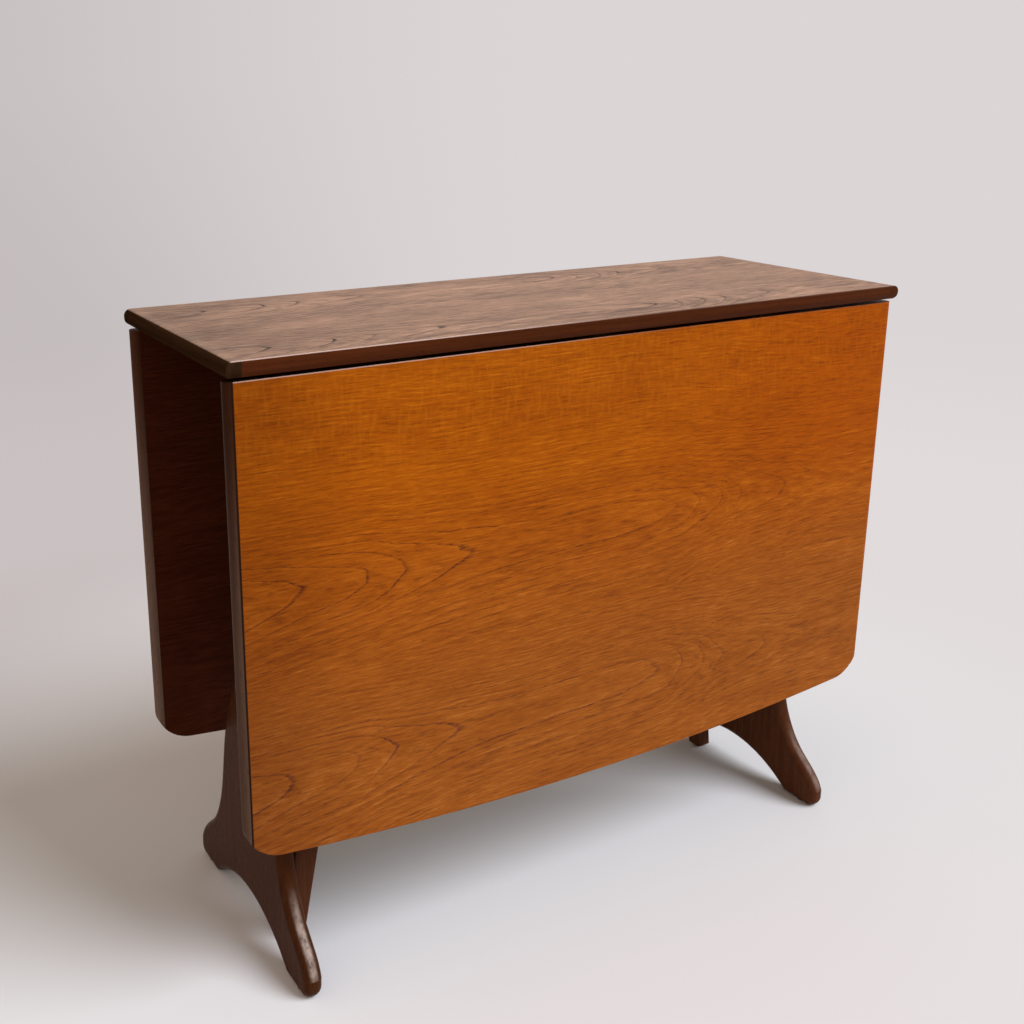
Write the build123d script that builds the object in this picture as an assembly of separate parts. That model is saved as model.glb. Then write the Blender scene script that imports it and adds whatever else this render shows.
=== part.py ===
from build123d import *
import math
import os

os.makedirs("parts", exist_ok=True)

# Drop leaf table, leaves hanging. Millimetres, +Z up, floor at Z 0, long side along X.

# fixed top
top_height = 722.0
top_length = 895.0
top_width = 320.0
board_thick = 17.0
end_round_top = 8.0
end_round_base = 5.0
end_lip = 16.0
edge_lip = 8.0
tongue_depth = 4.0
tongue_thick = 5.0

# leaves
leaf_inset = 0.5
leaf_depth = 536.5
leaf_bow = 25.0
leaf_corner = 45.0
leaf_lip = 12.0
leaf_edge_round = 1.5
arris = 0.6

# leaf hinges
axis_inset = 14.0
axis_drop = 7.0
joint_gap = 0.5
hinge_count = 3
hinge_margin = 202.0
hinge_length = 60.0
knuckle_radius = 3.6
hinge_pin_radius = 1.9
running_play = 0.05
plate_thick = 1.6
plate_reach = 40.0
plate_drop = 3.0
knuckle_gap = 0.2
mortise_play = 0.6

# end supports
panel_thick = 22.0
panel_lean = 1.75
panel_inset = 55.0
foot_reach = 167.0
sole_inner = 110.0
toe_height = 25.0
toe_round = 15.0
arch_height = 38.0
instep_half = 127.0
instep_height = 69.0
ankle_half = 96.0
ankle_height = 120.0
calf_half = 77.0
calf_height = 216.0
knee_half = 53.0
knee_height = 279.0
neck_half = 34.0
neck_height = 352.0
head_half = 54.0
panel_round = 10.0
panel_trim = 3.0
glide_height = 3.0
glide_radius = 8.0

# rails of the frame
bearer_margin = 4.0
bearer_height = 34.0
bearer_half = 58.0
rail_thick = 22.0
rail_height = 60.0
rail_tenon = 10.0
tenon_shoulder = 5.0
stretcher_base = 205.0
stretcher_height = 60.0
stretcher_tenon = 14.0
dowel_radius = 5.0
dowel_length = 44.0

# gates
pivot_x = 40.0
gate_plane = 49.0
post_side = 28.0
gate_rail_thick = 20.0
gate_rail_height = 45.0
leg_thick = 22.0
leg_width = 38.0
leg_gap = 5.0
foot_width = 23.0
foot_gap = 3.0
leg_bend = 300.0
leg_round = 3.0
pivot_block_width = 44.0
pivot_block_height = 24.0
lower_block_height = 34.0
pivot_block_wall = 5.0
pivot_radius = 5.0
pivot_depth = 18.0
pin_hold = 20.0
washer_thick = 2.0
washer_radius = 13.0
leaf_clearance = 0.5
buffer_thick = 3.0
gate_lift = 1.0
gate_dowel_radius = 4.0
gate_dowel_length = 36.0

# leaf stops
stop_x = 140.0
stop_length = 40.0
stop_depth = 18.0
stop_height = 25.0
stop_pad = 2.5
stop_gap = 0.1
pad_margin = 3.0

# screws
screw_head = 3.2
screw_shank = 1.6
screw_taper = 1.6
slot_width = 0.9
slot_depth = 0.5

# levels and places that follow from the sizes above
half_length = top_length / 2
leaf_length = top_length - 2 * leaf_inset
hinge_pitch = (leaf_length - 2 * hinge_margin) / (hinge_count - 1)
panel_foot_x = half_length - panel_inset
half_width = top_width / 2
under = top_height - board_thick
axis_y = half_width - axis_inset
axis_z = top_height - axis_drop
leaf_out = axis_y + axis_drop
leaf_in = leaf_out - board_thick
leaf_top = axis_z - axis_inset - joint_gap
bearer_under = under - bearer_height
lean = math.radians(panel_lean)
head_mid = panel_foot_x - panel_thick / 2 - bearer_under * math.tan(lean)
bearer_in = head_mid - panel_thick / 2 - bearer_margin
bearer_out = head_mid + panel_thick / 2 + bearer_margin
stretcher_top = stretcher_base + stretcher_height
rail_face = rail_thick / 2
post_base = stretcher_top + washer_thick + running_play
block_under = under - pivot_block_height
post_top = block_under - washer_thick
leg_out = bearer_in - leg_gap
leg_in = leg_out - leg_width
foot_out = panel_foot_x - panel_thick - foot_gap
gate_top = under - leaf_clearance
upper_gate_rail = post_top - pin_hold - gate_rail_height
lower_gate_rail = post_base + pin_hold


def block(x0, x1, y0, y1, z0, z1):
    """Box between two opposite corners."""
    centre = Pos((x0 + x1) / 2, (y0 + y1) / 2, (z0 + z1) / 2)
    return centre * Box(x1 - x0, y1 - y0, z1 - z0)


def rod_x(x0, x1, y, z, radius):
    """Cylinder along X."""
    return Pos((x0 + x1) / 2, y, z) * Rot(0, 90, 0) * Cylinder(radius, x1 - x0)


def rod_z(x, y, z0, z1, radius):
    """Cylinder along Z."""
    return Pos(x, y, (z0 + z1) / 2) * Cylinder(radius, z1 - z0)


def turned(shape):
    """The same piece on the other side of the table."""
    return Rot(0, 0, 180) * shape


def group(shapes):
    """Separate solids kept together under one name."""
    solids = [solid for shape in shapes for solid in shape.solids()]
    return Compound(children=solids)


def screw_hole(length):
    """Room for a countersunk screw, head face at the origin and tip towards +Z."""
    outline = Polyline(
        (0, 0),
        (screw_head, 0),
        (screw_shank, screw_taper),
        (screw_shank, length - screw_shank),
        (0, length),
        (0, 0),
    )
    return revolve(Plane.XZ * make_face(outline), Axis.Z)


def screw(length):
    """Countersunk wood screw with a slotted head."""
    slot = block(-screw_head, screw_head, -slot_width / 2, slot_width / 2, -1, slot_depth)
    return screw_hole(length) - slot


# fixed top: core panel with tongues, lippings round it
board_profile = Rectangle(top_length, board_thick)
board_profile = fillet(board_profile.vertices().group_by(Axis.Y)[-1], end_round_top)
board_profile = fillet(board_profile.vertices().group_by(Axis.Y)[0], end_round_base)
blank = extrude(Plane.XZ * board_profile, top_width / 2, both=True)
blank = Pos(0, 0, top_height - board_thick / 2) * blank
relief = block(-half_length - 1, half_length + 1, -half_width - 1, -axis_y, under - 1, axis_z)
relief -= rod_x(-half_length - 2, half_length + 2, -axis_y, axis_z, axis_inset)
blank = blank - relief - turned(relief)
arris_side = arris * math.sqrt(2)
board_arris = Pos(0, -half_width, top_height) * Rot(45, 0, 0) * Box(2 * top_length, arris_side, arris_side)
blank = blank - board_arris - turned(board_arris)
core_x = half_length - end_lip
core_y = half_width - edge_lip
tongue_mid = top_height - board_thick / 2
core = block(-core_x, core_x, -core_y, core_y, under, top_height)
tongue = block(
    -core_x - tongue_depth,
    core_x + tongue_depth,
    -core_y - tongue_depth,
    core_y + tongue_depth,
    tongue_mid - tongue_thick / 2,
    tongue_mid + tongue_thick / 2,
)
core = core + tongue
rim = blank - core
left_lip = rim & block(-half_length - 1, -core_x, -top_width, top_width, under - 1, top_height + 1)
front_lip = rim & block(-core_x, core_x, -top_width, 0, under - 1, top_height + 1)


# leaf outline, hanging, at a given inset from its three free edges
def leaf_outline(inset, top):
    """Face in the XZ plane: straight sides, rounded corners, bowed lower edge."""
    half = leaf_length / 2
    radius = (half**2 + leaf_bow**2) / (2 * leaf_bow)
    low = leaf_top - leaf_depth + inset
    side = half - inset
    bow_centre = low + radius - inset
    corner_z = bow_centre - math.sqrt((radius - inset) ** 2 - side**2)
    edges = [
        Line((-side, top), (-side, corner_z)),
        ThreePointArc((-side, corner_z), (0, low), (side, corner_z)),
        Line((side, corner_z), (side, top)),
        Line((side, top), (-side, top)),
    ]
    face = make_face(edges)
    corners = face.vertices().sort_by(Axis.Y)[:2]
    return fillet(corners, leaf_corner - inset)


def leaf_slab(inset, top, y0, y1):
    """Leaf outline as a plate between two distances from the table's middle."""
    face = Plane((0, -y0, 0), x_dir=(1, 0, 0), z_dir=(0, -1, 0)) * leaf_outline(inset, top)
    return extrude(face, y1 - y0)


def softened(slab, top):
    """Ease both faces' free edges, leaving the hinge edge."""
    rims = [
        edge
        for face in slab.faces().filter_by(Axis.Y)
        for edge in face.edges()
        if edge.center().Z < top - 1
    ]
    return fillet(rims, leaf_edge_round)


leaf_mid = (leaf_in + leaf_out) / 2
leaf_bar = Pos(0, -leaf_mid, 0) * extrude(SlotOverall(leaf_length, board_thick), leaf_top)
leaf_blank = leaf_bar & softened(leaf_slab(0, leaf_top, leaf_in, leaf_out), leaf_top)
leaf_core = leaf_slab(leaf_lip, leaf_top, leaf_in, leaf_out)
leaf_tongue = leaf_slab(
    leaf_lip - tongue_depth,
    leaf_top,
    leaf_mid - tongue_thick / 2,
    leaf_mid + tongue_thick / 2,
)
leaf_arris = Pos(0, -leaf_out, leaf_top) * Rot(45, 0, 0) * Box(2 * leaf_length, arris_side, arris_side)
leaf_core = leaf_core + leaf_tongue - leaf_arris
leaf_band = leaf_blank - leaf_core - leaf_arris

# leaf hinges, built for the front leaf
hinge_xs = [hinge_pitch * (i - (hinge_count - 1) / 2) for i in range(hinge_count)]
knuckle_half = hinge_length / 6
web_in = axis_inset + plate_thick
knuckle_top = axis_z + knuckle_radius
plate_low = under - plate_thick
leaf_plate_top = leaf_top - plate_drop
board_screws = []
leaf_screws = []
board_plates = []
leaf_plates = []
hinge_pins = []
mortises = []
board_holes = []
leaf_holes = []
board_screw_length = plate_thick + board_thick * 0.65
for x in hinge_xs:
    x0 = x - hinge_length / 2
    x1 = x + hinge_length / 2
    pin = rod_x(x0, x1, -axis_y, axis_z, hinge_pin_radius)
    hinge_pins.append(pin)
    mortises.append(
        block(
            x0 - mortise_play,
            x1 + mortise_play,
            -axis_y - knuckle_radius - mortise_play,
            -axis_y + web_in + mortise_play,
            under - 1,
            knuckle_top + mortise_play,
        )
    )
    # plate on the board: knuckles at both ends, web up into the mortise
    fixed = block(x0, x1, -axis_y + axis_inset, -axis_y + web_in + plate_reach, plate_low, under)
    fixed += block(x0, x1, -axis_y + axis_inset, -axis_y + web_in, plate_low, knuckle_top)
    for a, b in ((x0, x - knuckle_half), (x + knuckle_half, x1)):
        fixed += rod_x(a, b, -axis_y, axis_z, knuckle_radius)
        fixed += block(a, b, -axis_y, -axis_y + web_in, knuckle_top - plate_thick, knuckle_top)
    fixed -= pin
    # plate on the leaf: one knuckle in the middle, arm down to the leaf's inner face
    a = x - knuckle_half + knuckle_gap
    b = x + knuckle_half - knuckle_gap
    inner = -leaf_in
    outer = -leaf_in + plate_thick
    arm_top = knuckle_top - plate_thick
    moving = block(x0, x1, inner, outer, leaf_plate_top - plate_reach, leaf_plate_top)
    moving += block(a, b, inner, outer, leaf_plate_top - 1, knuckle_top)
    moving += block(a, b, -axis_y, outer, arm_top, knuckle_top)
    moving += rod_x(a, b, -axis_y, axis_z, knuckle_radius)
    moving -= rod_x(x0, x1, -axis_y, axis_z, hinge_pin_radius + running_play)
    for dx, share in ((-0.33, 0.4), (0.0, 0.75), (0.33, 0.4)):
        sx = x + dx * hinge_length
        at_board = Pos(sx, -axis_y + web_in + plate_reach * share, plate_low)
        at_leaf = Pos(sx, outer, leaf_plate_top - plate_reach * share) * Rot(90, 0, 0)
        board_screws.append(at_board * screw(board_screw_length))
        board_holes.append(at_board * screw_hole(board_screw_length))
        leaf_screws.append(at_leaf * screw(board_screw_length))
        leaf_holes.append(at_leaf * screw_hole(board_screw_length))
        fixed -= board_holes[-1]
        moving -= leaf_holes[-1]
    board_plates.append(fixed)
    leaf_plates.append(moving)

# stops that meet the hanging leaf, glued under the top
stop_blocks = []
stop_pads = []
stop_face = leaf_in - stop_gap
for x in (-stop_x, stop_x):
    x0 = x - stop_length / 2
    x1 = x + stop_length / 2
    back = stop_face - stop_pad
    stop_blocks.append(block(x0, x1, -back, -back + stop_depth, under - stop_height, under))
    pad_low = under - stop_height + pad_margin
    pad_high = leaf_top - pad_margin
    stop_pads.append(block(x0 + pad_margin, x1 - pad_margin, -stop_face, -back, pad_low, pad_high))

# left end support: shaped panel with splayed feet, leaning in towards its head
sole = glide_height - panel_trim
crown = bearer_under + panel_trim
foot_contour = Spline(
    (foot_reach, toe_height),
    (instep_half, instep_height),
    (ankle_half, ankle_height),
    (calf_half, calf_height),
    (knee_half, knee_height),
    (neck_half, neck_height),
    tangents=((-0.35, 1), (0, 1)),
)
right_outline = [
    Line((sole_inner, sole), (foot_reach, sole)),
    Line((foot_reach, sole), (foot_reach, toe_height)),
    foot_contour,
    TangentArc((neck_half, neck_height), (head_half, crown), tangent=(0, 1)),
]
outline = right_outline + [mirror(edge, Plane.YZ) for edge in right_outline]
outline.append(Line((head_half, crown), (-head_half, crown)))
outline.append(ThreePointArc((-sole_inner, sole), (0, arch_height), (sole_inner, sole)))
panel_face = make_face(outline)
toes = [v for v in panel_face.vertices() if abs(v.X) > foot_reach - 1 and v.Y < toe_height - 1]
panel_face = Plane((0, 0, 0), x_dir=(0, 1, 0), z_dir=(1, 0, 0)) * fillet(toes, toe_round)
panel = extrude(panel_face, panel_thick)
panel_rims = [
    edge
    for face in panel.faces().filter_by(Axis.X)
    for edge in face.edges()
    if sole + 1 < edge.center().Z < bearer_under
]
panel = fillet(panel_rims, panel_round)
panel = Pos(-panel_foot_x, 0, 0) * Rot(0, panel_lean, 0) * panel
low_cut = block(-top_length, 0, -top_width, top_width, -2 * panel_trim, glide_height)
high_cut = block(-top_length, 0, -top_width, top_width, bearer_under, under)
panel = panel - low_cut - high_cut

# left bearer under the top, doweled to the panel's head
bearer = block(-bearer_out, -bearer_in, -bearer_half, bearer_half, bearer_under, under)
panel_dowels = []
for y in (-bearer_half * 0.4, bearer_half * 0.4):
    low = bearer_under - dowel_length * 0.55
    panel_dowels.append(rod_z(-head_mid, y, low, low + dowel_length, dowel_radius))
bearer_screws = []
bearer_screw_length = bearer_height + board_thick * 0.65
for y in (-bearer_half * 0.8, bearer_half * 0.8):
    at = Pos(-head_mid, y, bearer_under)
    bearer_screws.append(at * screw(bearer_screw_length))
    hole = at * screw_hole(bearer_screw_length)
    bearer -= hole
    board_holes.append(hole)
for dowel in panel_dowels:
    bearer -= dowel
    panel -= dowel

# rails along the table's middle
tenon = block(
    -bearer_in - rail_tenon,
    bearer_in + rail_tenon,
    -rail_thick / 4,
    rail_thick / 4,
    bearer_under + tenon_shoulder,
    under - tenon_shoulder,
)
upper_rail = block(-bearer_in, bearer_in, -rail_face, rail_face, under - rail_height, under) + tenon
bearer -= tenon
slope = math.tan(lean)
tenon_x = panel_foot_x - panel_thick + stretcher_tenon - stretcher_base * slope
stretcher_reach = panel_foot_x + panel_trim
stretcher = block(
    -stretcher_reach,
    stretcher_reach,
    -rail_face,
    rail_face,
    stretcher_base,
    stretcher_top,
)
shoulder = Box(4 * panel_thick, top_width, top_height, align=(Align.MAX, Align.CENTER, Align.MIN))
shoulder = Pos(-panel_foot_x, 0, 0) * Rot(0, panel_lean, 0) * Pos(panel_thick, 0, 0) * shoulder
stretcher = stretcher - shoulder - turned(shoulder)
lower_tenon = block(
    -tenon_x,
    tenon_x,
    -rail_thick / 4,
    rail_thick / 4,
    stretcher_base + 2 * tenon_shoulder,
    stretcher_top - 2 * tenon_shoulder,
)
stretcher = stretcher + lower_tenon
panel -= lower_tenon

# glides under the feet of the left panel
foot_mid = (sole_inner + foot_reach) / 2
foot_x = -panel_foot_x + panel_thick / 2
glides = [rod_z(foot_x, y, 0, glide_height, glide_radius) for y in (-foot_mid, foot_mid)]

# pivots of the front gate
block_x0 = pivot_x - pivot_block_width / 2
block_x1 = pivot_x + pivot_block_width / 2
block_out = gate_plane + washer_radius + pivot_block_wall
pivot_low = stretcher_top - pivot_depth
lower_low = stretcher_top - lower_block_height
lower_block = block(block_x0, block_x1, -block_out, -rail_face, lower_low, stretcher_top)
upper_block = block(block_x0, block_x1, -block_out, -rail_face, block_under, under)
bore = pivot_radius + running_play
lower_block -= rod_z(pivot_x, -gate_plane, pivot_low, stretcher_top + 1, bore)
upper_block -= rod_z(pivot_x, -gate_plane, block_under - 1, block_under + pivot_depth, bore)
washer = rod_z(pivot_x, -gate_plane, stretcher_top, stretcher_top + washer_thick, washer_radius)
washer -= rod_z(pivot_x, -gate_plane, stretcher_top - 1, post_base + 1, bore)
pivot_screws = []
rail_holes = []
stretcher_holes = []
block_screw_length = block_out - rail_face + rail_thick * 0.7
for dx in (-pivot_block_width * 0.35, pivot_block_width * 0.35):
    low_at = Pos(pivot_x + dx, -block_out, stretcher_top - lower_block_height / 2) * Rot(-90, 0, 0)
    high_at = Pos(pivot_x + dx, -block_out, under - pivot_block_height / 2) * Rot(-90, 0, 0)
    pivot_screws.append(low_at * screw(block_screw_length))
    pivot_screws.append(high_at * screw(block_screw_length))
    lower_block -= low_at * screw_hole(block_screw_length)
    upper_block -= high_at * screw_hole(block_screw_length)
    stretcher_holes.append(low_at * screw_hole(block_screw_length))
    rail_holes.append(high_at * screw_hole(block_screw_length))

# front gate: pivot post, two rails, leg that turns out to the floor
half_post = post_side / 2
post = block(
    pivot_x - half_post,
    pivot_x + half_post,
    -gate_plane - half_post,
    -gate_plane + half_post,
    post_base,
    post_top,
)
pivot_pins = [
    rod_z(pivot_x, -gate_plane, pivot_low + 1, post_base + pin_hold, pivot_radius),
    rod_z(pivot_x, -gate_plane, post_top - pin_hold, block_under + pivot_depth - 1, pivot_radius),
]
for pin in pivot_pins:
    post -= pin
rail_y0 = -gate_plane - gate_rail_thick / 2
rail_y1 = -gate_plane + gate_rail_thick / 2
rail_x1 = pivot_x - half_post
gate_rails = [
    block(-leg_in, rail_x1, rail_y0, rail_y1, low, low + gate_rail_height)
    for low in (upper_gate_rail, lower_gate_rail)
]
leg_low = glide_height + gate_lift
leg_high = gate_top - buffer_thick
foot_in = foot_out - foot_width
bend_in = leg_bend * 0.55
leg_sketch = [
    Line((-leg_out, leg_bend), (-leg_out, leg_high)),
    Line((-leg_out, leg_high), (-leg_in, leg_high)),
    Line((-leg_in, leg_high), (-leg_in, leg_bend)),
    Spline(
        (-leg_in, leg_bend),
        (-leg_in - (foot_in - leg_in) * 0.3, bend_in),
        (-foot_in, leg_low),
        tangents=((0, -1), (-0.18, -1)),
    ),
    Line((-foot_in, leg_low), (-foot_out, leg_low)),
    Spline(
        (-foot_out, leg_low),
        (-leg_out, leg_bend),
        tangents=((0.1, 1), (0, 1)),
    ),
]
leg_plane = Plane((0, -gate_plane + leg_thick / 2, 0), x_dir=(1, 0, 0), z_dir=(0, -1, 0))
leg = extrude(leg_plane * make_face(leg_sketch), leg_thick)
leg_rims = [
    edge
    for face in leg.faces().filter_by(Axis.Y)
    for edge in face.edges()
    if leg_low + 1 < edge.center().Z < leg_high - 1
]
leg = fillet(leg_rims, leg_round)
gate_dowels = []
for low in (upper_gate_rail, lower_gate_rail):
    for share in (0.25, 0.75):
        z = low + gate_rail_height * share
        for joint in (-leg_in, rail_x1):
            x0 = joint - gate_dowel_length / 2
            gate_dowels.append(
                rod_x(x0, x0 + gate_dowel_length, -gate_plane, z, gate_dowel_radius)
            )
for dowel in gate_dowels:
    leg -= dowel
    post -= dowel
    gate_rails = [rail - dowel for rail in gate_rails]
leg_mid = (leg_out + leg_in) / 2
foot_centre = (foot_out + foot_in) / 2
gate_glide = rod_z(-foot_centre, -gate_plane, gate_lift, leg_low, glide_radius)
buffer = block(
    -leg_mid - leg_width / 2 + leg_round,
    -leg_mid + leg_width / 2 - leg_round,
    -gate_plane - leg_thick / 2 + leg_round,
    -gate_plane + leg_thick / 2 - leg_round,
    leg_high,
    gate_top,
)

# hinge mortises and screw holes in the shared boards
for cut in mortises + board_holes:
    core = core - cut - turned(cut)
for cut in leaf_holes:
    leaf_core = leaf_core - cut
for cut in rail_holes:
    upper_rail = upper_rail - cut - turned(cut)
for cut in stretcher_holes:
    stretcher = stretcher - cut - turned(cut)

nodes = {
    "top_panel": core,
    "top_left_lipping": left_lip,
    "top_right_lipping": turned(left_lip),
    "top_front_lipping": front_lip,
    "top_rear_lipping": turned(front_lip),
    "left_end_panel": panel,
    "right_end_panel": turned(panel),
    "left_bearer": bearer,
    "right_bearer": turned(bearer),
    "upper_rail": upper_rail,
    "stretcher": stretcher,
    "panel_dowels": group(panel_dowels + [turned(d) for d in panel_dowels]),
    "bearer_screws": group(bearer_screws + [turned(s) for s in bearer_screws]),
    "foot_glides": group(glides + [turned(g) for g in glides]),
    "leaf_stop_blocks": group(stop_blocks + [turned(s) for s in stop_blocks]),
    "leaf_stop_pads": group(stop_pads + [turned(s) for s in stop_pads]),
    "pivot_block_screws": group(pivot_screws + [turned(s) for s in pivot_screws]),
    "pivot_washers": group([washer, turned(washer)]),
}
front_side = {
    "lower_pivot_block": lower_block,
    "upper_pivot_block": upper_block,
    "leaf_panel": leaf_core,
    "leaf_lipping": leaf_band,
    "hinge_board_plates": group(board_plates),
    "hinge_leaf_plates": group(leaf_plates),
    "hinge_pins": group(hinge_pins),
    "hinge_board_screws": group(board_screws),
    "hinge_leaf_screws": group(leaf_screws),
    "gate_post": post,
    "gate_leg": leg,
    "gate_upper_rail": gate_rails[0],
    "gate_lower_rail": gate_rails[1],
    "gate_dowels": group(gate_dowels),
    "gate_pivot_pins": group(pivot_pins),
    "gate_glide": gate_glide,
    "gate_buffer": buffer,
}
for name, shape in front_side.items():
    nodes["front_" + name] = shape
    nodes["rear_" + name] = turned(shape)

for name, shape in nodes.items():
    export_step(shape, f"parts/{name}.step")
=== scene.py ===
import math

import bmesh
import bpy
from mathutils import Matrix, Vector


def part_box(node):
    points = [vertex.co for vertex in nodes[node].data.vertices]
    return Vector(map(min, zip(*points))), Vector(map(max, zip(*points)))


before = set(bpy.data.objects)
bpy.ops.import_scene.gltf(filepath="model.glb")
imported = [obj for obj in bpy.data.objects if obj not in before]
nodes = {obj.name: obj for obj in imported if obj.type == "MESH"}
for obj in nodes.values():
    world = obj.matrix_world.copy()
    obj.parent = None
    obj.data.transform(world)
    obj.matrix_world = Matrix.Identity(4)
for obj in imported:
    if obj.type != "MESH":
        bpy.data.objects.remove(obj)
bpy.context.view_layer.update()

MM = 1000.0  # millimetres in a metre; the woods are drawn in millimetres

# Camera, worked out from the straight edges of the table. Metres and degrees.
CAMERA_PLACE = (-0.8439, -1.2374, 0.9725)
CAMERA_PITCH = 15.985
CAMERA_AZIMUTH = 30.018
CAMERA_LENS = 44.314
SENSOR = 36.0
CAMERA_SHIFT = (0.07158, -0.07095)

# Key light, from the front, the right and above.
KEY_DIRECTION = (0.455, -0.575, 0.680)
KEY_SPREAD = 38.0
KEY_STRENGTH = 3.3
KEY_COLOR = (0.86, 0.92, 1.0)

# Fill light: its colours at the left and at the right, and where it goes from one to the
# other, on a scale from -1 at the far left to 1 at the far right.
FILL_LEFT = (0.62, 0.50, 0.42)
FILL_RIGHT = (0.34, 0.345, 0.295)
FILL_FADE = (-0.8, 0.6)

# Backdrop: pale where a direction leans towards BRIGHT_SIDE, duller on the other side. On the
# floor the duller side is painted shade: the light falling off away from the key.
PALE = (0.71, 0.665, 0.67)
PALE_SIDE = (0.55, 0.505, 0.505)
BRIGHT_SIDE = (0.985, -0.174, 0.0)
BRIGHT_FADE = (-0.139, 0.438)

# Floor: FLOOR_FADE and GLOW_FADE are distances from the table, in metres, over which the floor
# takes the backdrop's colour and then its glow. That colour is darker than FLOOR_COLOR: painted
# falloff of the light with distance.
FLOOR_COLOR = (0.765, 0.735, 0.74)
FLOOR_SIZE = 240.0
FLOOR_FADE = (0.55, 1.3)
GLOW_FADE = (1.5, 4.0)
# rays that see the backdrop; all others see the fill light
SHOWN_TO = ("Is Camera Ray", "Is Glossy Ray", "Is Transmission Ray")

# Veneer figure, in millimetres: where the pointed loops end along the grain, how fast they
# open, and how far from their middle line they go on bending.
LOOP_ENDS = (-381, -304, -261, -181, 103, 141, 178, 209, 281, 352)
VENEER_HALF = 450.0
OPEN_UP = 620.0
OPEN_DOWN = 1050.0
LOOP_BEND = 62.0
# left of TILT_START the middle lines sink by TILT for each millimetre
TILT_START = -60.0
TILT = 0.032
# the lower strip's figure lies this far to the left
STRIP_SHIFT = 13.0
# rings counted to the left of the figure, so that no ring's number is negative
RING_OFFSET = 40.0
# the loops' dark lines grow fainter over LOOP_FADE, and end over LOOP_TAIL
LOOP_FADE = (-60.0, 220.0)
LOOP_TAIL = 110.0
# what the rings, the fibres and the patches give to the veneer's tone
PHASE_SHARE = 0.08
FIBRE_SHARE = 0.72
PATCH_SHARE = 0.40

# Leaf: middle lines of the two strips and the seam between them, half the length of the flat
# face, and how far the veneer runs round the right end.
LEAF_AXES = (488.0, 277.0)
LEAF_SEAM = 382.0
LEAF_FACE = 438.5
LEAF_WRAP = 7.0
# where looks come in on the leaf: heights and places along it
RIPPLE_UP = (560.0, 640.0)
LEAF_FLOOR_BOUNCE_DOWN = (610.0, 250.0)
DEEP_ALONG = (0.0, 380.0)
DEEP_UP = (380.0, 560.0)
LEAF_LEFT_SHADE_ALONG = (-280.0, -440.0)
EDGE_SHADE_UP = (380.0, 700.0)

# Fixed top: middle lines, seam, and where its left end darkens and by how much.
TOP_AXES = (113.0, -108.0)
TOP_SEAM = 2.0
TOP_SHADE_ALONG = (-220.0, -470.0)
TOP_SHADE = 0.26

# from the left half of the table to the right half, and back
TO_RIGHT = (-100.0, 100.0)
TO_LEFT = (100.0, -100.0)

# Painted highlights: where the pale line along the long edges comes in, and its share at the
# right end;
# the height at which the painted highlights on the insteps begin and are full, and their share
# at each end.
ARRIS_HIGHLIGHT_ALONG = (130.0, -230.0)
ARRIS_HIGHLIGHT_LEAST = 0.08
INSTEP_DOWN = (112.0, 58.0)
INSTEP_HIGHLIGHT_LEFT = 0.80
INSTEP_HIGHLIGHT_RIGHT = 0.34

# Specular levels. They are low, so that the dark woods don't grey at a low angle.
WOOD_SPECULAR = 0.03
LEAF_SPECULAR = 0.04


class Field:
    """A number at each point of a surface, so that a pattern reads as a formula."""

    def __init__(self, graph, socket):
        self.graph = graph
        self.socket = socket

    def __add__(self, other):
        return self.graph.math("ADD", self, other)

    def __sub__(self, other):
        return self.graph.math("SUBTRACT", self, other)

    def __mul__(self, other):
        return self.graph.math("MULTIPLY", self, other)

    def __truediv__(self, other):
        return self.graph.math("DIVIDE", self, other)

    def __neg__(self):
        return self.graph.math("MULTIPLY", self, -1.0)


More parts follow.
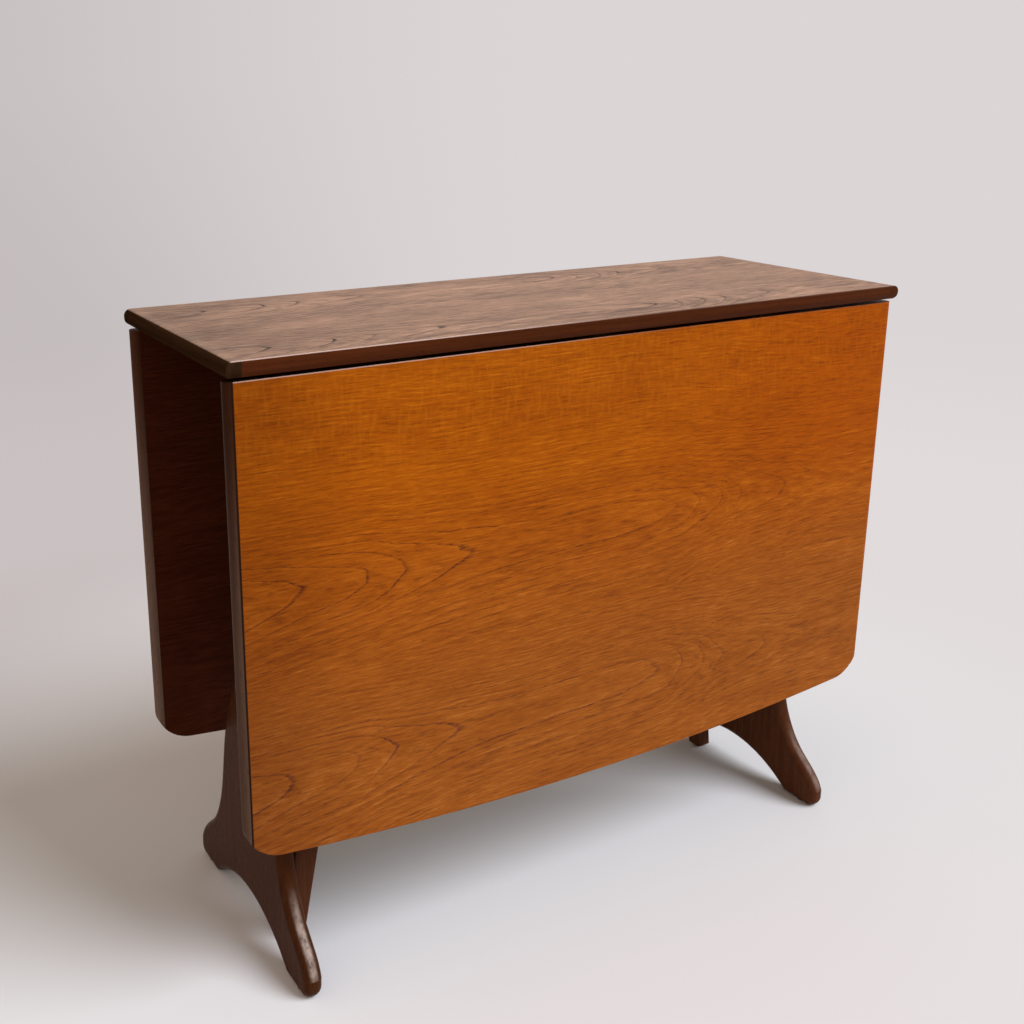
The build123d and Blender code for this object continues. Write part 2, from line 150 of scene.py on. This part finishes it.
class Graph:
    """One material's node tree, with short names for the nodes that the woods use."""

    def __init__(self, name):
        self.material = bpy.data.materials.new(name)
        self.material.use_nodes = True
        self.tree = self.material.node_tree
        self.shader = self.tree.nodes["Principled BSDF"]
        self.coordinates = None

    def put(self, socket, value):
        """Sets a socket, or links it to a field."""
        if isinstance(value, Field):
            self.tree.links.new(value.socket, socket)
        else:
            socket.default_value = value

    def math(self, operation, *values):
        """One sum, by the name that Blender's Math node gives it."""
        node = self.tree.nodes.new("ShaderNodeMath")
        node.operation = operation
        for socket, value in zip(node.inputs, values):
            self.put(socket, value)
        return Field(self, node.outputs[0])

    def position(self):
        """X, Y and Z in millimetres, in the piece's own frame."""
        if self.coordinates is None:
            source = self.tree.nodes.new("ShaderNodeTexCoord")
            split = self.tree.nodes.new("ShaderNodeSeparateXYZ")
            self.tree.links.new(source.outputs["Object"], split.inputs[0])
            self.coordinates = [Field(self, socket) * MM for socket in split.outputs]
        return self.coordinates

    def normal(self):
        """The surface normal in the piece's own frame."""
        source = self.tree.nodes.new("ShaderNodeTexCoord")
        split = self.tree.nodes.new("ShaderNodeSeparateXYZ")
        self.tree.links.new(source.outputs["Normal"], split.inputs[0])
        return [Field(self, socket) for socket in split.outputs]

    def noise(self, x, y, z, detail=2.0, roughness=0.5):
        """Noise between 0 and 1, about one feature to each unit of its coordinates."""
        joined = self.tree.nodes.new("ShaderNodeCombineXYZ")
        for socket, value in zip(joined.inputs, (x, y, z)):
            self.put(socket, value)
        node = self.tree.nodes.new("ShaderNodeTexNoise")
        self.tree.links.new(joined.outputs[0], node.inputs["Vector"])
        node.inputs["Scale"].default_value = 1.0
        node.inputs["Detail"].default_value = detail
        node.inputs["Roughness"].default_value = roughness
        return Field(self, node.outputs["Fac"])

    def step(self, value, low, high, start=0.0, end=1.0):
        """A smooth rise from start to end as value goes from low to high."""
        node = self.tree.nodes.new("ShaderNodeMapRange")
        node.interpolation_type = "SMOOTHSTEP"
        self.put(node.inputs["Value"], value)
        self.put(node.inputs["From Min"], low)
        self.put(node.inputs["From Max"], high)
        self.put(node.inputs["To Min"], start)
        self.put(node.inputs["To Max"], end)
        return Field(self, node.outputs["Result"])

    def curve(self, value, points):
        """A smooth curve through points, both axes from 0 to 1."""
        node = self.tree.nodes.new("ShaderNodeFloatCurve")
        line = node.mapping.curves[0]
        for place, height in points[1:-1]:
            line.points.new(place, height)
        line.points[0].location = points[0]
        line.points[len(points) - 1].location = points[-1]
        node.mapping.update()
        self.put(node.inputs["Value"], value)
        return Field(self, node.outputs["Value"])

    def ramp(self, value, stops):
        """A colour that follows value through (place, colour) stops."""
        node = self.tree.nodes.new("ShaderNodeValToRGB")
        ramp = node.color_ramp
        while len(ramp.elements) < len(stops):
            ramp.elements.new(1.0)
        for element, (place, color) in zip(ramp.elements, stops):
            element.position = place
            element.color = (*color, 1.0)
        self.put(node.inputs["Fac"], value)
        return Field(self, node.outputs["Color"])

    def blend(self, share, first, second, kind="MIX"):
        """Mixes two colours, each a field or a constant."""
        node = self.tree.nodes.new("ShaderNodeMix")
        node.data_type = "RGBA"
        node.blend_type = kind
        self.put(node.inputs["Factor"], share)
        for name, value in (("A", first), ("B", second)):
            socket = [s for s in node.inputs if s.name == name and s.type == "RGBA"][0]
            self.put(socket, value if isinstance(value, Field) else (*value, 1.0))
        return Field(self, [s for s in node.outputs if s.type == "RGBA"][0])

    def finish(self, color, roughness, height=None, depth=0.0002, strength=0.4, specular=0.5):
        """Joins colour, roughness and relief to the shader. depth is in metres."""
        self.put(self.shader.inputs["Base Color"], color)
        self.put(self.shader.inputs["Roughness"], roughness)
        self.shader.inputs["Specular IOR Level"].default_value = specular
        if height is not None:
            bump = self.tree.nodes.new("ShaderNodeBump")
            bump.inputs["Strength"].default_value = strength
            bump.inputs["Distance"].default_value = depth
            self.put(bump.inputs["Height"], height)
            self.tree.links.new(bump.outputs[0], self.shader.inputs["Normal"])
        return self.material


def loop_depth(graph, along):
    """How many growth rings lie to the left of a place on a loop's middle line."""
    count = len(LOOP_ENDS) + 1
    span = 2 * VENEER_HALF
    points = [(0.0, 0.0)]
    for number, end in enumerate(LOOP_ENDS, start=1):
        points.append(((end + VENEER_HALF) / span, number / count))
    points.append((1.0, (len(LOOP_ENDS) - 0.4) / count))
    return graph.curve((along + VENEER_HALF) / span, points) * float(count)


def veneer_rings(graph, along, across, axes, seam):
    """Growth rings of two strips cut from one log: nested loops that open along the grain."""
    wander = graph.noise(along / 260.0, across / 110.0, 3.1, detail=1.0) - 0.5
    shiver = graph.noise(along / 46.0, across / 13.0, 7.7, detail=3.0) - 0.5
    upper = graph.math("GREATER_THAN", across, seam)
    axis = upper * (axes[0] - axes[1]) + axes[1]
    tilt = graph.math("MINIMUM", along - TILT_START, 0.0) * TILT
    rise = across - axis - tilt + wander * 22.0 + shiver * 4.0
    above = graph.math("MAXIMUM", rise, 0.0)
    below = graph.math("MINIMUM", rise, 0.0)
    near_up = graph.math("MINIMUM", above, LOOP_BEND)
    near_down = graph.math("MAXIMUM", below, -LOOP_BEND)
    spread = near_up * near_up / OPEN_UP + near_down * near_down / OPEN_DOWN
    spread = spread + (above - near_up) * (2 * LOOP_BEND / OPEN_UP)
    spread = spread - (below - near_down) * (2 * LOOP_BEND / OPEN_DOWN)
    shift = upper * STRIP_SHIFT - STRIP_SHIFT
    return loop_depth(graph, along - shift) + spread + shiver * 0.30, rise


def veneer(graph, along, across, axes, seam, look, ripple):
    """Colour, relief, tone and dark lines of figured teak veneer."""
    rings, rise = veneer_rings(graph, along, across, axes, seam)
    counted = rings + RING_OFFSET
    phase = graph.math("FRACT", counted)
    flow = rings * 2.0 + across * 0.05
    # each noise is divided by the length and the width of its features, in millimetres
    fibre = graph.noise(along / 80.0, flow, across / 14.0, detail=5.0, roughness=0.66)
    streak = graph.noise(along / 48.0, flow * 1.15, across / 6.0, detail=4.0, roughness=0.66)
    hair = graph.noise(along / 26.0, across / 2.1, 2.0, detail=4.0, roughness=0.7)
    pore = graph.noise(along / 13.0, across / 1.8, 11.0, detail=2.0, roughness=0.6)
    patch = graph.noise(along / 150.0, across / 55.0, 5.0, detail=3.0)
    # dark porous line at the start of each ring, strongest in the loops and broken into pores
    ring = graph.step(phase, 0.0, 0.025) * graph.step(phase, 0.12, 0.04)
    broken = graph.step(pore, 0.40, 0.58)
    number = graph.math("FLOOR", counted)
    weight = graph.noise(number * 3.7, along / 120.0, across / 60.0, detail=1.0)
    off_middle = graph.math("ABSOLUTE", rise)
    centre = graph.step(off_middle, 110.0, 35.0, 0.45, 1.0)
    centre = centre * graph.step(along, look["reach"] + LOOP_TAIL, look["reach"])
    line = ring * (broken * 0.7 + 0.3) * graph.step(weight, 0.25, 0.60, 0.35, 1.0) * centre
    line = line * look["loops"] * graph.step(along, *LOOP_FADE, 1.0, look["faint"])
    if look["tips"] > 0.0:
        tip = ring * graph.step(off_middle, 9.0, 3.0) * graph.step(weight, 0.30, 0.55)
        line = line + tip * centre * look["tips"]
    # the contrast works about the middle of the tone, which stays at 0.5
    contrast = look["contrast"]
    mean = (PHASE_SHARE + FIBRE_SHARE + look["hair"] + PATCH_SHARE) / 2
    tone = phase * PHASE_SHARE + fibre * FIBRE_SHARE + hair * look["hair"] + patch * PATCH_SHARE
    tone = tone * contrast + (0.5 - mean * contrast)
    color = graph.ramp(tone, look["ramp"])
    dark = graph.step(streak, 0.53, 0.68) * (broken * 0.6 + 0.4)
    fleck = graph.step(pore, 0.58, 0.72) * graph.step(hair, 0.42, 0.60)
    color = graph.blend(dark * look["streaks"], color, look["fleck"])
    color = graph.blend(fleck * look["streaks"], color, look["fleck"])
    color = graph.blend(line, color, look["line"])
    if ripple is not None:
        waves = graph.noise(along / 5.0, across / 20.0, 21.0, detail=2.0)
        cross = graph.step(waves, 0.46, 0.66) * ripple
        color = graph.blend(cross * 0.25, color, look["ripple"])
    height = hair * 0.4 - line * 0.5 - fleck * 0.6 - dark * 0.3 + fibre * 0.3
    return color, height, tone, line


# A look's colours and weights. "loops" and "faint" are the strength of the loops' lines at the
# left and at the right, "reach" is where they end, and "tips" darkens their points.
LEAF_LOOK = {
    "ramp": (
        (0.12, (0.225, 0.043, 0.0008)),
        (0.40, (0.320, 0.068, 0.0012)),
        (0.62, (0.382, 0.087, 0.0016)),
        (0.90, (0.490, 0.130, 0.0036)),
    ),
    "line": (0.080, 0.016, 0.0022),
    "fleck": (0.130, 0.026, 0.0012),
    "ripple": (0.470, 0.130, 0.0040),
    "contrast": 1.25,
    "hair": 1.20,
    "loops": 0.90,
    "faint": 0.45,
    "reach": 270.0,
    "tips": 0.0,
    "streaks": 0.55,
}
# the top's colours hold a painted sheen: greyer and paler, as its gloss looks at a low angle
TOP_LOOK = {
    "ramp": (
        (0.08, (0.196, 0.123, 0.088)),
        (0.40, (0.319, 0.182, 0.122)),
        (0.62, (0.387, 0.219, 0.143)),
        (0.94, (0.506, 0.289, 0.187)),
    ),
    "line": (0.080, 0.058, 0.046),
    "fleck": (0.145, 0.096, 0.074),
    "contrast": 2.7,
    "hair": 1.00,
    "loops": 0.80,
    "faint": 1.0,
    "reach": 240.0,
    "tips": 0.6,
    "streaks": 0.65,
}


def straight_grain(graph, along, across, deep, ramp, pores):
    """Colour and relief of plain straight grained wood."""
    sway = (graph.noise(along / 180.0, across / 40.0, deep / 40.0, detail=1.0) - 0.5) * 9.0
    side = across + sway
    band = graph.noise(along / 260.0, side / 7.0, deep / 7.0, detail=3.0, roughness=0.6)
    hair = graph.noise(along / 24.0, side / 0.7, deep / 0.7, detail=3.0, roughness=0.65)
    pore = graph.noise(along / 11.0, side / 0.9, deep / 0.9, detail=1.0)
    fleck = graph.step(pore, 0.60, 0.76)
    color = graph.ramp(band * 0.75 + hair * 0.30 - 0.03, ramp)
    color = graph.blend(fleck * 0.5, color, pores)
    return color, hair * 0.5 - fleck * 0.6 + band * 0.3


# Colours of the plain woods, from dark to light, and of the painted highlights on edges and
# insteps.
DARK_RAMP = (
    (0.20, (0.052, 0.0165, 0.0065)),
    (0.50, (0.082, 0.0264, 0.0107)),
    (0.85, (0.120, 0.0405, 0.0175)),
)
BEECH_RAMP = (
    (0.2, (0.36, 0.22, 0.12)),
    (0.5, (0.47, 0.31, 0.18)),
    (0.85, (0.56, 0.40, 0.25)),
)
LEAF_BACK_RAMP = (
    (0.20, (0.042, 0.0080, 0.0024)),
    (0.50, (0.061, 0.0128, 0.0040)),
    (0.85, (0.086, 0.0205, 0.0070)),
)
LEAF_EDGE_RAMP = (
    (0.20, (0.066, 0.034, 0.021)),
    (0.50, (0.088, 0.048, 0.031)),
    (0.85, (0.115, 0.068, 0.046)),
)
TOP_EDGE_RAMP = (
    (0.20, (0.044, 0.0095, 0.0022)),
    (0.50, (0.068, 0.0156, 0.0036)),
    (0.85, (0.100, 0.0260, 0.0070)),
)
# the top's left end: darker and browner than its other edges, as painted shade
TOP_LEFT_SHADED_RAMP = (
    (0.20, (0.015, 0.0066, 0.0029)),
    (0.50, (0.030, 0.0135, 0.0058)),
    (0.85, (0.056, 0.0248, 0.0112)),
)
ARRIS_HIGHLIGHT = (0.72, 0.50, 0.42)
INSTEP_HIGHLIGHT = (0.44, 0.34, 0.29)
DARK_PORES = (0.012, 0.005, 0.003)
BACK_LINE = (0.008, 0.003, 0.002)
SEAM_LINE = (0.016, 0.006, 0.003)
BLACK = (0.0, 0.0, 0.0)
# painted sheen: grey added to the matt left end's upper face, to bring it to the tone of the
# glossier veneer beside it
PAINTED_SHEEN = (0.043, 0.043, 0.043)

# Tints that multiply a wood: the leaf's veneer low down (painted shade with a bluish painted
# reflection of the floor), at the upper right, and at the left (painted shade); the leaf's edge
# high up (painted shade) and at the right (painted light); and the left end support (painted
# shade).
LEAF_FLOOR_BOUNCE = (0.82, 1.0, 6.5)
DEEPENED = (0.96, 0.84, 0.40)
LEAF_LEFT_SHADE = (0.72, 0.70, 0.76)
EDGE_SHADE = (0.40, 0.22, 0.12)
EDGE_PAINTED_LIGHT = (1.85, 2.05, 2.30)
LEFT_SUPPORT_SHADE = (0.63, 0.58, 0.43)


def grain_places(graph, axis):
    """Places along, across and through a wood with its grain along one axis."""
    places = graph.position()
    across, deep = [places[i] for i in range(3) if i != axis]
    return places[axis], across, deep


def painted_arris_highlight(graph, corner):
    """Painted highlight: a pale line along a long outer edge, more of it towards the left end.

    corner is the edge's distance from the table's middle plane plus its height.
    """
    x, y, z = graph.position()
    reach = graph.math("ABSOLUTE", y) + z
    lit_arris = graph.step(reach, corner - 1.3, corner - 0.7)
    return lit_arris * graph.step(x, *ARRIS_HIGHLIGHT_ALONG, ARRIS_HIGHLIGHT_LEAST, 1.0)


def leaf_material(name, turn):
    """Leaf: teak veneer outside, a darker plain veneer inside, solid wood at the edges."""
    graph = Graph(name)
    x, y, z = graph.position()
    along = x * turn
    ripple = graph.step(z, *RIPPLE_UP)
    teak, relief, tone, line = veneer(graph, along, z, LEAF_AXES, LEAF_SEAM, LEAF_LOOK, ripple)
    # painted shade and a bluish painted reflection of the floor, low down on the leaf
    teak = graph.blend(graph.step(z, *LEAF_FLOOR_BOUNCE_DOWN), teak, LEAF_FLOOR_BOUNCE, "MULTIPLY")
    deep = graph.step(along, *DEEP_ALONG) * graph.step(z, *DEEP_UP)
    teak = graph.blend(deep, teak, DEEPENED, "MULTIPLY")
    # painted shade towards the leaf's own left end
    teak = graph.blend(graph.step(along, *LEAF_LEFT_SHADE_ALONG), teak, LEAF_LEFT_SHADE, "MULTIPLY")
    low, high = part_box("front_leaf_panel")
    corner = (high[2] - low[1]) * MM
    # painted highlight along the leaf's upper outer arris
    teak = graph.blend(painted_arris_highlight(graph, corner) * 0.6, teak, ARRIS_HIGHLIGHT)
    back = graph.blend(line * 0.9, graph.ramp(tone, LEAF_BACK_RAMP), BACK_LINE)
    edge, edge_relief = straight_grain(graph, z, x, y, LEAF_EDGE_RAMP, DARK_PORES)
    edge = graph.blend(graph.step(z, *EDGE_SHADE_UP), edge, EDGE_SHADE, "MULTIPLY")
    right = graph.step(along, *TO_RIGHT)
    # painted light: the edge at the leaf's own right end is lighter; on the rear leaf that end
    # is at the table's left
    edge = graph.blend(right, edge, EDGE_PAINTED_LIGHT, "MULTIPLY")
    # dark line where the veneer meets the solid edge
    outward = graph.normal()[1] * -turn
    from_middle = graph.math("ABSOLUTE", x)
    seam = graph.step(from_middle, LEAF_FACE + 2.6, LEAF_FACE + 1.6)
    edge = graph.blend(seam * graph.step(outward, 0.1, 0.3), edge, SEAM_LINE)
    # the outer veneer runs on round the right end, the inner one stops at the flat face
    face = right * LEAF_WRAP + LEAF_FACE
    outer_flat = graph.step(from_middle, face + 0.6, face - 0.6)
    inner_flat = graph.step(from_middle, LEAF_FACE + 0.6, LEAF_FACE - 0.6)
    outside = graph.step(outward, 0.45, 0.55) * outer_flat
    inside = graph.step(outward, -0.45, -0.55) * inner_flat
    color = graph.blend(inside, edge, back)
    color = graph.blend(outside, color, teak)
    height = relief * outside + edge_relief * (-outside + 1.0)
    rough = tone * -0.10 + 0.50
    return graph.finish(
        color, rough, height, depth=0.00012, strength=0.35, specular=LEAF_SPECULAR
    )


def top_face(graph):
    """Colour, relief, tone and dark lines of the top's veneer, darker towards its left end."""
    x, y = graph.position()[:2]
    color, relief, tone, line = veneer(graph, x, y, TOP_AXES, TOP_SEAM, TOP_LOOK, None)
    color = graph.blend(graph.step(x, *TOP_SHADE_ALONG, 0.0, TOP_SHADE), color, BLACK)
    return color, relief, tone, line


def top_material(name):
    """Fixed top: teak veneer above, plain dark wood below."""
    graph = Graph(name)
    x, y, z = graph.position()
    color, relief, tone, line = top_face(graph)
    plain, plain_relief = straight_grain(graph, x, y, z, DARK_RAMP, DARK_PORES)
    upward = graph.step(graph.normal()[2], 0.80, 0.94)
    color = graph.blend(upward, plain, color)
    height = relief * upward + plain_relief * (-upward + 1.0)
    rough = tone * -0.12 + line * 0.2 + 0.48
    return graph.finish(
        color, rough, height, depth=0.00015, strength=0.35, specular=WOOD_SPECULAR
    )


def lipping_material(name, axis, ramp, matt=False):
    """Solid edge of the top: dark at the side, under the top's veneer above."""
    graph = Graph(name)
    side, relief = straight_grain(graph, *grain_places(graph, axis), ramp, DARK_PORES)
    above = top_face(graph)[0]
    # a matt end gets a painted sheen on its upper face, in place of the veneer's gloss
    if matt:
        above = graph.blend(1.0, above, PAINTED_SHEEN, "ADD")
    upward = graph.step(graph.normal()[2], 0.86, 0.95)
    color = graph.blend(upward, side, above)
    low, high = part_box("top_front_lipping")
    corner = (high[2] - low[1]) * MM
    # painted highlight along the top's long arrises
    color = graph.blend(painted_arris_highlight(graph, corner) * 0.7, color, ARRIS_HIGHLIGHT)
    rough = relief * 0.14 + 0.34
    return graph.finish(color, rough, relief, specular=0.0 if matt else WOOD_SPECULAR)


def painted_instep_highlight(graph):
    """Painted highlight along the crest of a foot's upper side, in patches."""
    x, y, z = graph.position()
    normal = graph.normal()
    crest = graph.step(graph.math("ABSOLUTE", normal[0]), 0.55, 0.08)
    upper = graph.step(normal[2], 0.25, 0.52) * graph.step(z, *INSTEP_DOWN)
    patches = graph.noise(x / 7.0, y / 9.0, z / 12.0, detail=4.0, roughness=0.65)
    share = graph.step(x, *TO_RIGHT, INSTEP_HIGHLIGHT_LEFT, INSTEP_HIGHLIGHT_RIGHT)
    return crest * upper * graph.step(patches, 0.30, 0.62, 0.25, 1.0) * share


def dark_wood(name, axis, ramp=DARK_RAMP, roughness=0.20, painted_light=False):
    """Plain solid wood with its grain along one axis; on the end supports, painted highlights on
    the feet and painted shade on the left support.
    """
    graph = Graph(name)
    color, height = straight_grain(graph, *grain_places(graph, axis), ramp, DARK_PORES)
    if painted_light:
        highlight = painted_instep_highlight(graph)
        # painted shade on the left end support, which faces away from the key light
        left = graph.step(graph.position()[0], *TO_LEFT)
        color = graph.blend(left, color, LEFT_SUPPORT_SHADE, "MULTIPLY")
        # painted highlight on the insteps, where a gloss would catch the key light
        color = graph.blend(highlight, color, INSTEP_HIGHLIGHT)
        height = height * (-highlight + 1.0)
    rough = height * 0.18 + roughness
    return graph.finish(color, rough, height, strength=0.6, specular=WOOD_SPECULAR)


def metal(name, tint, roughness):
    """Metal with fine scratches and a slightly uneven tarnish."""
    graph = Graph(name)
    x, y, z = graph.position()
    cloud = graph.noise(x / 9.0, y / 9.0, z / 9.0, detail=3.0)
    scratch = graph.noise(x / 3.0, y / 0.25, z / 0.25, detail=2.0)
    dull = tuple(c * 0.62 for c in tint)
    color = graph.blend(graph.step(cloud, 0.35, 0.7), dull, tint)
    graph.shader.inputs["Metallic"].default_value = 1.0
    return graph.finish(
        color, scratch * 0.22 + roughness, scratch, depth=0.00004, strength=0.25
    )


def felt(name):
    """Felt: short mixed fibres."""
    graph = Graph(name)
    x, y, z = graph.position()
    fluff = graph.noise(x / 0.6, y / 0.6, z / 0.6, detail=4.0, roughness=0.7)
    color = graph.ramp(fluff, ((0.3, (0.05, 0.032, 0.022)), (0.7, (0.12, 0.085, 0.06))))
    graph.shader.inputs["Sheen Weight"].default_value = 0.3
    return graph.finish(color, 0.95, fluff, depth=0.0004, strength=0.6, specular=0.2)


def nylon(name):
    """Dark moulded nylon, slightly scuffed."""
    graph = Graph(name)
    x, y, z = graph.position()
    scuff = graph.noise(x / 2.0, y / 2.0, z / 2.0, detail=4.0)
    color = graph.ramp(scuff, ((0.3, (0.028, 0.025, 0.023)), (0.75, (0.06, 0.055, 0.05))))
    return graph.finish(color, scuff * 0.2 + 0.45, scuff, depth=0.0001, strength=0.3)


def dress():
    """Gives each piece its material."""
    support = dark_wood("support_dark_wood", 2, painted_light=True)
    upright = dark_wood("upright_dark_wood", 2)
    lengthwise = dark_wood("lengthwise_dark_wood", 0)
    crosswise = dark_wood("crosswise_dark_wood", 1)
    plain = dark_wood("dowel_beech", 0, BEECH_RAMP, 0.45)
    brass = metal("satin_brass", (0.62, 0.46, 0.20), 0.28)
    steel = metal("screw_steel", (0.50, 0.50, 0.51), 0.30)
    leaves = {
        "front": leaf_material("front_leaf_teak", 1.0),
        "rear": leaf_material("rear_leaf_teak", -1.0),
    }
    top = top_material("top_teak")
    top_edge = lipping_material("top_edge_wood", 0, TOP_EDGE_RAMP)
    # the left end: painted shade at its side, and a painted sheen on its matt upper face
    left_end_shade_and_sheen = lipping_material("top_left_end_shade_and_sheen", 1, TOP_LEFT_SHADED_RAMP, matt=True)
    top_right_end = lipping_material("top_right_end_wood", 1, TOP_EDGE_RAMP)
    pads = felt("brown_felt")
    plastic = nylon("dark_nylon")
    # the first ending that fits counts, so the hinges' screws come before the other screws
    by_ending = {
        "top_panel": top,
        "top_front_lipping": top_edge,
        "top_rear_lipping": top_edge,
        "top_left_lipping": left_end_shade_and_sheen,
        "top_right_lipping": top_right_end,
        "end_panel": support,
        "bearer": crosswise,
        "upper_rail": lengthwise,
        "stretcher": lengthwise,
        "lower_rail": lengthwise,
        "stop_blocks": lengthwise,
        "pivot_block": crosswise,
        "gate_post": upright,
        "gate_leg": upright,
        "dowels": plain,
        "plates": brass,
        "hinge_board_screws": brass,
        "hinge_leaf_screws": brass,
        "screws": steel,
        "pins": steel,
        "glides": plastic,
        "glide": plastic,
        "washers": plastic,
        "pads": pads,
        "buffer": pads,
    }
    for name, piece in nodes.items():
        if name.endswith(("leaf_panel", "leaf_lipping")):
            material = leaves[name.split("_")[0]]
        else:
            material = next(m for ending, m in by_ending.items() if name.endswith(ending))
        piece.data.materials.clear()
        piece.data.materials.append(material)


def light_path_share(tree, names):
    """1 for the rays named, else 0."""
    path = tree.nodes.new("ShaderNodeLightPath")
    total = path.outputs[names[0]]
    for name in names[1:]:
        join = tree.nodes.new("ShaderNodeMath")
        join.operation = "MAXIMUM"
        tree.links.new(total, join.inputs[0])
        tree.links.new(path.outputs[name], join.inputs[1])
        total = join.outputs[0]
    return total


def smooth_share(tree, place, low, high):
    """A smooth rise from 0 to 1 as place goes from low to high."""
    rise = tree.nodes.new("ShaderNodeMapRange")
    rise.interpolation_type = "SMOOTHSTEP"
    tree.links.new(place, rise.inputs["Value"])
    rise.inputs["From Min"].default_value = low
    rise.inputs["From Max"].default_value = high
    return rise.outputs["Result"]


def mixed_color(tree, share, first, second):
    """A mix of two colours, each a colour or a socket."""
    mix = tree.nodes.new("ShaderNodeMix")
    mix.data_type = "RGBA"
    tree.links.new(share, mix.inputs["Factor"])
    sockets = [s for s in mix.inputs if s.type == "RGBA"]
    for socket, color in zip(sockets, (first, second)):
        if isinstance(color, tuple):
            socket.default_value = (*color, 1.0)
        else:
            tree.links.new(color, socket)
    return [s for s in mix.outputs if s.type == "RGBA"][0]


def backdrop_color(tree, direction):
    """Pale backdrop, brighter on the table's right half, which on the floor is painted shade on
    the left.
    """
    level = tree.nodes.new("ShaderNodeVectorMath")
    level.operation = "MULTIPLY"
    tree.links.new(direction, level.inputs[0])
    level.inputs[1].default_value = (1.0, 1.0, 0.0)
    heading = tree.nodes.new("ShaderNodeVectorMath")
    heading.operation = "NORMALIZE"
    tree.links.new(level.outputs["Vector"], heading.inputs[0])
    share = tree.nodes.new("ShaderNodeVectorMath")
    share.operation = "DOT_PRODUCT"
    tree.links.new(heading.outputs["Vector"], share.inputs[0])
    share.inputs[1].default_value = BRIGHT_SIDE
    bright = smooth_share(tree, share.outputs["Value"], *BRIGHT_FADE)
    return mixed_color(tree, bright, PALE_SIDE, PALE)


def make_world():
    """Soft fill light, warmer from the left, with a pale backdrop for the camera."""
    world = bpy.data.worlds.new("studio")
    bpy.context.scene.world = world
    world.use_nodes = True
    tree = world.node_tree
    source = tree.nodes.new("ShaderNodeTexCoord")
    direction = source.outputs["Generated"]
    split = tree.nodes.new("ShaderNodeSeparateXYZ")
    tree.links.new(direction, split.inputs[0])
    to_right = smooth_share(tree, split.outputs["X"], *FILL_FADE)
    fill = mixed_color(tree, to_right, FILL_LEFT, FILL_RIGHT)
    backdrop = backdrop_color(tree, direction)
    color = mixed_color(tree, light_path_share(tree, SHOWN_TO), fill, backdrop)
    tree.links.new(color, tree.nodes["Background"].inputs["Color"])


def make_floor():
    """Pale floor that runs into the backdrop, with painted shade far off and on the left."""
    mesh = bpy.data.meshes.new("floor")
    shape = bmesh.new()
    bmesh.ops.create_grid(shape, x_segments=1, y_segments=1, size=FLOOR_SIZE / 2)
    shape.to_mesh(mesh)
    shape.free()
    floor = bpy.data.objects.new("floor", mesh)
    bpy.context.scene.collection.objects.link(floor)
    material = bpy.data.materials.new("pale_floor")
    material.use_nodes = True
    tree = material.node_tree
    shader = tree.nodes["Principled BSDF"]
    shader.inputs["Roughness"].default_value = 0.9
    shader.inputs["Specular IOR Level"].default_value = 0.1
    place = tree.nodes.new("ShaderNodeTexCoord")
    distance = tree.nodes.new("ShaderNodeVectorMath")
    distance.operation = "LENGTH"
    tree.links.new(place.outputs["Object"], distance.inputs[0])
    far_color = backdrop_color(tree, place.outputs["Object"])
    far = smooth_share(tree, distance.outputs["Value"], *FLOOR_FADE)
    color = mixed_color(tree, far, FLOOR_COLOR, far_color)
    tree.links.new(color, shader.inputs["Base Color"])
    share = tree.nodes.new("ShaderNodeMath")
    share.operation = "MULTIPLY"
    tree.links.new(smooth_share(tree, distance.outputs["Value"], *GLOW_FADE), share.inputs[0])
    tree.links.new(light_path_share(tree, SHOWN_TO), share.inputs[1])
    glow = tree.nodes.new("ShaderNodeEmission")
    tree.links.new(far_color, glow.inputs["Color"])
    mix = tree.nodes.new("ShaderNodeMixShader")
    tree.links.new(share.outputs[0], mix.inputs[0])
    tree.links.new(shader.outputs[0], mix.inputs[1])
    tree.links.new(glow.outputs[0], mix.inputs[2])
    tree.links.new(mix.outputs[0], tree.nodes["Material Output"].inputs["Surface"])
    mesh.materials.append(material)


def make_light():
    """One large soft key light, far away."""
    lamp = bpy.data.lights.new("key", "SUN")
    lamp.angle = math.radians(KEY_SPREAD)
    lamp.energy = KEY_STRENGTH
    lamp.color = KEY_COLOR
    key = bpy.data.objects.new("key", lamp)
    key.rotation_euler = Vector(KEY_DIRECTION).to_track_quat("Z", "Y").to_euler()
    bpy.context.scene.collection.objects.link(key)


def make_camera():
    """Camera at the photograph's place."""
    data = bpy.data.cameras.new("camera")
    data.sensor_width = SENSOR
    data.lens = CAMERA_LENS
    data.shift_x, data.shift_y = CAMERA_SHIFT
    camera = bpy.data.objects.new("camera", data)
    camera.location = CAMERA_PLACE
    camera.rotation_euler = (math.radians(90 - CAMERA_PITCH), 0.0, math.radians(-CAMERA_AZIMUTH))
    bpy.context.scene.collection.objects.link(camera)
    bpy.context.scene.camera = camera


dress()
make_world()
make_floor()
make_light()
make_camera()
bpy.context.scene.view_settings.view_transform = "Standard"
